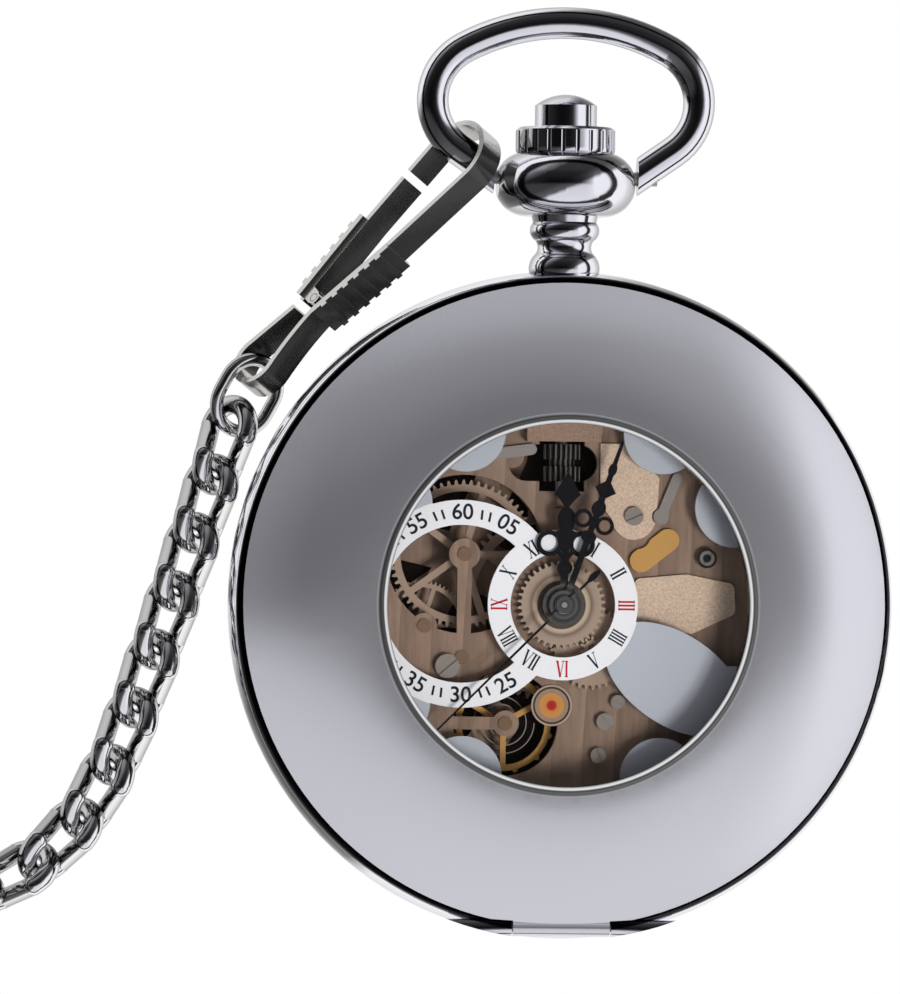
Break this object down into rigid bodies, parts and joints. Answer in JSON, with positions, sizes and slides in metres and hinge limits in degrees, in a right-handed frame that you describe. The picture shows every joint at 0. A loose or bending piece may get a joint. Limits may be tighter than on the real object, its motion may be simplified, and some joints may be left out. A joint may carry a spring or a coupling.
{
  "type": "pocket watch",
  "caption": "Half-hunter skeleton pocket watch with hinged glazed lid, crown with push button, swivelling bow and a curb chain with two spring clasps.",
  "frame": {"origin": "centre of the flat face of the case back, on the surface the watch lies on", "axes": "+Z out of the case back towards the dial, +Y towards the crown (12 o'clock), +X towards 3 o'clock"},
  "size_m": [0.1232, 0.0697, 0.0122],
  "materials": {
    "case_chrome": "polished",
    "case_brushed": "brushed",
    "glass": "clear",
    "dial_white": "matt",
    "hand_black": "gloss",
    "plate_brown": "satin",
    "plate_rose": "bead blasted",
    "bronze": "satin",
    "gold": "polished",
    "steel": "polished",
    "dark_steel": "polished",
    "ruby": "polished",
    "chain_chrome": "polished",
    "clasp_dark": "polished"
  },
  "bodies": {
    "case": {"case_band": "case_chrome", "case_back": "case_brushed", "lid_springs": "steel", "hinge_pin": "steel", "dial_bezel": "case_chrome", "dial_crystal": "glass", "pendant": "case_chrome", "crown_tube": "steel", "bow_pins": "steel", "dial": "dial_white", "main_plate": "plate_brown", "movement_ring": "plate_brown", "barrel_bridge": "plate_brown", "train_bridge": "plate_brown", "balance_cock": "plate_brown", "mainspring": "steel", "barrel_arbor": "steel", "ratchet_wheel": "steel", "click": "steel", "setting_lever": "steel", "yoke": "steel", "setting_cover": "plate_rose", "kidney_lever": "gold", "barrel_cover": "plate_rose", "plate_screws": "steel", "jewels": "ruby"},
    "cover": {"lid": "case_brushed", "lid_crystal": "glass", "lid_crystal_ring": "case_chrome"},
    "loop": {"bow": "case_chrome"},
    "winding": {"winding_pinion": "dark_steel"},
    "stem": {"winding_stem": "steel", "clutch_wheel": "dark_steel", "crown": "case_chrome", "button_spring": "steel"},
    "button": {"crown_button": "case_chrome"},
    "minutes": {"minute_hand": "hand_black", "cannon_pinion": "steel", "centre_wheel": "bronze"},
    "hours": {"hour_hand": "hand_black", "hour_wheel": "bronze"},
    "setting": {"minute_wheel": "bronze"},
    "third": {"third_wheel": "bronze"},
    "fourth": {"fourth_wheel": "bronze"},
    "escape": {"escape_wheel": "steel"},
    "seconds": {"second_hand": "hand_black", "second_arbor": "steel"},
    "barrel": {"mainspring_barrel": "gold"},
    "pallet": {"pallet_fork": "steel"},
    "balance": {"balance_wheel": "gold", "hairspring": "steel"},
    "hook": {"clasp_hook": "clasp_dark"},
    "gate": {"clasp_gate": "clasp_dark"},
    "ring": {"chain_ring": "chain_chrome"},
    "links_a": {"chain_first": "chain_chrome"},
    "links_b": {"chain_second": "chain_chrome"},
    "links_c": {"chain_coil": "chain_chrome"},
    "far_ring": {"end_ring": "chain_chrome"},
    "far_hook": {"end_clasp_hook": "clasp_dark"},
    "far_gate": {"end_clasp_gate": "clasp_dark"}
  },
  "joints": [
    {"name": "lid_hinge", "type": "hinge", "parent": "case", "child": "cover", "pos_m": [0, -0.02265, 0.009], "axis": [1, 0, 0], "range_deg": [0, 100]},
    {"name": "bow_swing", "type": "hinge", "parent": "case", "child": "loop", "pos_m": [0, 0.0301, 0.0058], "axis": [1, 0, 0], "range_deg": [-60, 60]},
    {"name": "crown_turn", "type": "hinge", "parent": "case", "child": "winding", "pos_m": [0, 0.0134, 0.0058], "axis": [0, 1, 0], "continuous": true},
    {"name": "crown_pull", "type": "slide", "parent": "winding", "child": "stem", "axis": [0, 1, 0], "range_m": [0, 0.001]},
    {"name": "button_press", "type": "slide", "parent": "stem", "child": "button", "axis": [0, 1, 0], "range_m": [-0.0007, 0], "stiffness_N_per_m": 900, "springref_m": 0.0004, "deforming": ["button_spring"]},
    {"name": "minute_turn", "type": "hinge", "parent": "case", "child": "minutes", "pos_m": [0, 0, 0.006], "axis": [0, 0, 1], "continuous": true},
    {"name": "hour_turn", "type": "hinge", "parent": "case", "child": "hours", "pos_m": [0, 0, 0.00665], "axis": [0, 0, 1], "continuous": true},
    {"name": "minute_wheel_turn", "type": "hinge", "parent": "case", "child": "setting", "pos_m": [0.0022, -0.00304, 0.0063], "axis": [0, 0, 1], "continuous": true},
    {"name": "third_turn", "type": "hinge", "parent": "case", "child": "third", "pos_m": [-0.0068, 0.0035, 0.004], "axis": [0, 0, 1], "continuous": true},
    {"name": "fourth_turn", "type": "hinge", "parent": "case", "child": "fourth", "pos_m": [-0.00961, -0.00158, 0.0037], "axis": [0, 0, 1], "continuous": true},
    {"name": "escape_turn", "type": "hinge", "parent": "case", "child": "escape", "pos_m": [-0.0069, -0.00378, 0.0025], "axis": [0, 0, 1], "continuous": true},
    {"name": "seconds_turn", "type": "hinge", "parent": "case", "child": "seconds", "pos_m": [0, 0, 0.005], "axis": [0, 0, 1], "continuous": true},
    {"name": "barrel_turn", "type": "hinge", "parent": "case", "child": "barrel", "pos_m": [0.00759, 0.00359, 0.004], "axis": [0, 0, 1], "continuous": true},
    {"name": "balance_swing", "type": "hinge", "parent": "case", "child": "balance", "pos_m": [-0.0038, -0.0084, 0.0042], "axis": [0, 0, 1], "range_deg": [-135, 135], "stiffness_Nm_per_rad": 0.0000002, "deforming": ["hairspring"]},
    {"name": "pallet_rock", "type": "hinge", "parent": "case", "child": "pallet", "pos_m": [-0.00554, -0.00581, 0.0025], "axis": [0, 0, 1], "range_deg": [-3, 3]},
    {"name": "hook_swing", "type": "hinge", "parent": "loop", "child": "hook", "pos_m": [-0.007, 0.0316, 0.0058], "axis": [0.8192, -0.5736, 0], "range_deg": [0, 40]},
    {"name": "gate_press", "type": "hinge", "parent": "hook", "child": "gate", "pos_m": [-0.01689, 0.02099, 0.00337], "axis": [-0.6637, 0.4894, 0.5657], "range_deg": [0, 8], "stiffness_Nm_per_rad": 0.02, "springref_deg": -5.73},
    {"name": "ring_swing", "type": "hinge", "parent": "hook", "child": "ring", "pos_m": [-0.02079, 0.01681, 0.00242], "axis": [-0.6637, 0.4894, 0.5657], "range_deg": [-6, 6]},
    {"name": "links_a_bend", "type": "hinge", "parent": "ring", "child": "links_a", "pos_m": [-0.02285, 0.01277, 0.0022], "axis": [0, 0, 1], "range_deg": [-8, 2]},
    {"name": "links_b_bend", "type": "hinge", "parent": "links_a", "child": "links_b", "pos_m": [-0.02695, 0.00063, 0.0022], "axis": [0, 0, 1], "range_deg": [-8, 4]},
    {"name": "links_c_bend", "type": "hinge", "parent": "links_b", "child": "links_c", "pos_m": [-0.03361, -0.01532, 0.0022], "axis": [0, 0, 1], "range_deg": [-8, 8]},
    {"name": "far_ring_bend", "type": "hinge", "parent": "links_c", "child": "far_ring", "pos_m": [-0.08239, -0.01308, 0.0022], "axis": [0, 0, 1], "range_deg": [-4, 4]},
    {"name": "far_hook_swing", "type": "hinge", "parent": "far_ring", "child": "far_hook", "pos_m": [-0.08427, -0.00892, 0.00259], "axis": [0, 0, 1], "range_deg": [-5, 5]},
    {"name": "far_gate_press", "type": "hinge", "parent": "far_hook", "child": "far_gate", "pos_m": [-0.08504, -0.00321, 0.00325], "axis": [-0.6901, -0.1739, 0.7026], "range_deg": [0, 8], "stiffness_Nm_per_rad": 0.02, "springref_deg": -5.73}
  ],
  "couplings": [
    {"joint": "hour_turn", "follows": "minute_turn", "ratio": 0.083333},
    {"joint": "minute_wheel_turn", "follows": "minute_turn", "ratio": -0.33333},
    {"joint": "third_turn", "follows": "minute_turn", "ratio": -8},
    {"joint": "fourth_turn", "follows": "minute_turn", "ratio": 60},
    {"joint": "escape_turn", "follows": "minute_turn", "ratio": -514.29},
    {"joint": "seconds_turn", "follows": "minute_turn", "ratio": 60},
    {"joint": "barrel_turn", "follows": "minute_turn", "ratio": -0.16667}
  ]
}
